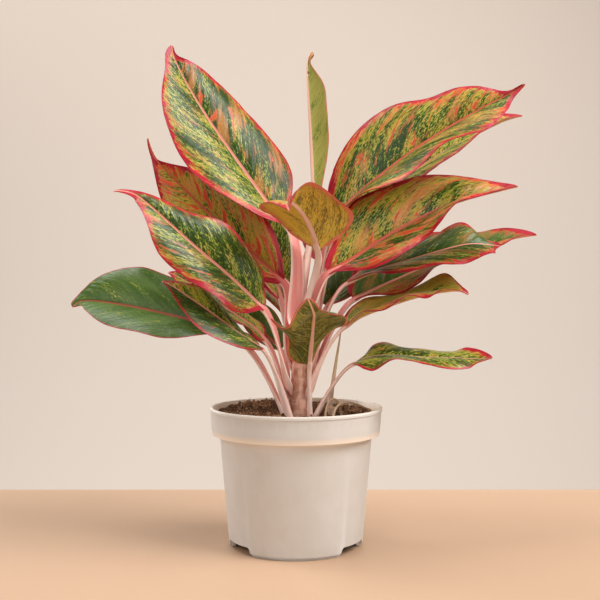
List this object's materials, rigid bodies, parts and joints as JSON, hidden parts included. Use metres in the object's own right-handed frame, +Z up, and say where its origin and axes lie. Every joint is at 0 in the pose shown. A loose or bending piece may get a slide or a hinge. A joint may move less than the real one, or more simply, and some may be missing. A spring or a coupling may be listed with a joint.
{
  "type": "potted chinese evergreen",
  "caption": "House plant in a round off-white nursery pot: upright stems carry broad pointed green leaves with red margins on pale pink stalks.",
  "frame": {"origin": "middle of the pot's foot, on the surface that the pot stands on", "axes": "+Z up along the pot's axis; -Y towards the plant's front; +X to the right seen from the front"},
  "size_m": [0.3668, 0.2262, 0.3809],
  "materials": {
    "pot": "satin",
    "soil": "matte",
    "cane": "satin",
    "petiole": "satin",
    "shoot": "satin",
    "root": "matte",
    "leaf_streaked": "satin",
    "leaf_bronze": "satin",
    "leaf_green": "satin",
    "leaf_dark": "satin",
    "leaf_young": "satin"
  },
  "bodies": {
    "root": {"pot": "pot", "soil": "soil", "cane": "cane", "shoot": "shoot", "root_loop": "root", "root_runner": "root", "stub": "root", "blade_upper_left": "leaf_streaked", "petiole_upper_left": "petiole", "blade_bronze_left": "leaf_bronze", "petiole_bronze_left": "petiole", "blade_left_front": "leaf_streaked", "petiole_left_front": "petiole", "blade_lower_left": "leaf_green", "petiole_lower_left": "petiole", "blade_far_left": "leaf_dark", "petiole_far_left": "petiole", "blade_inner_left": "leaf_green", "petiole_inner_left": "petiole", "blade_low_back_left": "leaf_dark", "petiole_low_back_left": "petiole", "blade_back_left": "leaf_green", "petiole_back_left": "petiole", "blade_spire": "leaf_young", "petiole_spire": "petiole", "blade_centre": "leaf_young", "petiole_centre": "petiole", "blade_upper_right": "leaf_streaked", "petiole_upper_right": "petiole", "blade_upper_right_back": "leaf_green", "petiole_upper_right_back": "petiole", "blade_right_front": "leaf_streaked", "petiole_right_front": "petiole", "blade_right_tent": "leaf_dark", "petiole_right_tent": "petiole", "blade_right_long": "leaf_bronze", "petiole_right_long": "petiole", "blade_right_low": "leaf_green", "petiole_right_low": "petiole", "blade_front": "leaf_young", "petiole_front": "petiole", "blade_lower_right": "leaf_green", "petiole_lower_right": "petiole", "blade_low_back_right": "leaf_green", "petiole_low_back_right": "petiole", "blade_rear_left": "leaf_green", "petiole_rear_left": "petiole", "blade_rear_right": "leaf_streaked", "petiole_rear_right": "petiole"}
  },
  "joints": []
}
